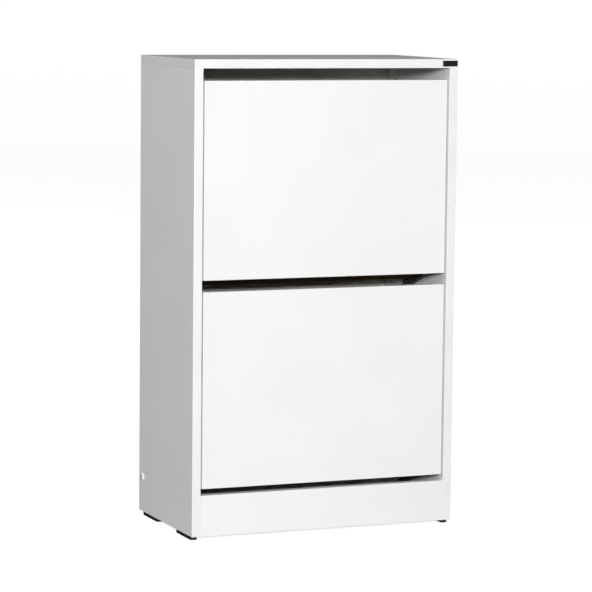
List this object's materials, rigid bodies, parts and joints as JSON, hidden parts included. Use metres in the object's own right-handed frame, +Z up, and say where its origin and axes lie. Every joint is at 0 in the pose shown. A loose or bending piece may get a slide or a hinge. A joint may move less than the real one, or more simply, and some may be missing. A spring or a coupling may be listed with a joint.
{
  "type": "shoe cabinet",
  "caption": "White shoe cabinet with inset tilt-out doors one above the other, finger gaps instead of handles, sloping shoe racks behind the doors, a plinth and low feet.",
  "frame": {"origin": "on the floor, under the middle of the cabinet", "axes": "+X to the right seen from the front, +Y to the back, +Z up"},
  "size_m": [0.505, 0.281, 0.84],
  "materials": {
    "white_board": "white melamine-faced chipboard with matching edge banding, satin",
    "hardboard": "thin hardboard, white lacquered on the face side and brown fibre on the other",
    "badge_black": "blank black plate, semi-gloss",
    "zinc": "die-cast zinc cam housing",
    "steel": "zinc-plated steel",
    "beech": "fluted beech dowel",
    "white_plastic": "white moulded cap, satin",
    "black_plastic": "black moulded foot, matte",
    "grey_plastic": "grey moulded fitting, satin",
    "dark_plastic": "dark grey moulded rack frame, fine matte texture"
  },
  "bodies": {
    "carcass": {"left_side_panel": "white_board", "right_side_panel": "white_board", "top_panel": "white_board", "plinth_panel": "white_board", "rear_rail": "white_board", "back_panel": "hardboard", "badge_plate": "badge_black", "cam_housings": "zinc", "cam_bolts": "steel", "dowels": "beech", "rail_screws": "steel", "screw_cap_left": "white_plastic", "screw_cap_right": "white_plastic", "back_nails": "steel", "foot_front_left": "black_plastic", "foot_front_right": "black_plastic", "foot_rear_left": "black_plastic", "foot_rear_right": "black_plastic", "foot_nails": "steel", "lower_pivot_left": "grey_plastic", "lower_stop_peg_left": "grey_plastic", "lower_pivot_right": "grey_plastic", "lower_stop_peg_right": "grey_plastic", "upper_pivot_left": "grey_plastic", "upper_stop_peg_left": "grey_plastic", "upper_pivot_right": "grey_plastic", "upper_stop_peg_right": "grey_plastic", "pivot_screws": "steel", "peg_screws": "steel"},
    "lower_flap": {"lower_door": "white_board", "lower_rack_frame_left": "dark_plastic", "lower_rack_frame_right": "dark_plastic", "lower_frame_screws": "steel", "lower_front_shelf": "hardboard", "lower_front_backrest": "hardboard", "lower_rear_shelf": "hardboard", "lower_rear_backrest": "hardboard"},
    "upper_flap": {"upper_door": "white_board", "upper_rack_frame_left": "dark_plastic", "upper_rack_frame_right": "dark_plastic", "upper_frame_screws": "steel", "upper_front_shelf": "hardboard", "upper_front_backrest": "hardboard", "upper_rear_shelf": "hardboard", "upper_rear_backrest": "hardboard"}
  },
  "joints": [
    {"name": "lower_flap_tilt", "type": "hinge", "parent": "carcass", "child": "lower_flap", "pos_m": [0, -0.111, 0.136], "axis": [1, 0, 0], "range_deg": [0, 45]},
    {"name": "upper_flap_tilt", "type": "hinge", "parent": "carcass", "child": "upper_flap", "pos_m": [0, -0.111, 0.502], "axis": [1, 0, 0], "range_deg": [0, 45]}
  ]
}
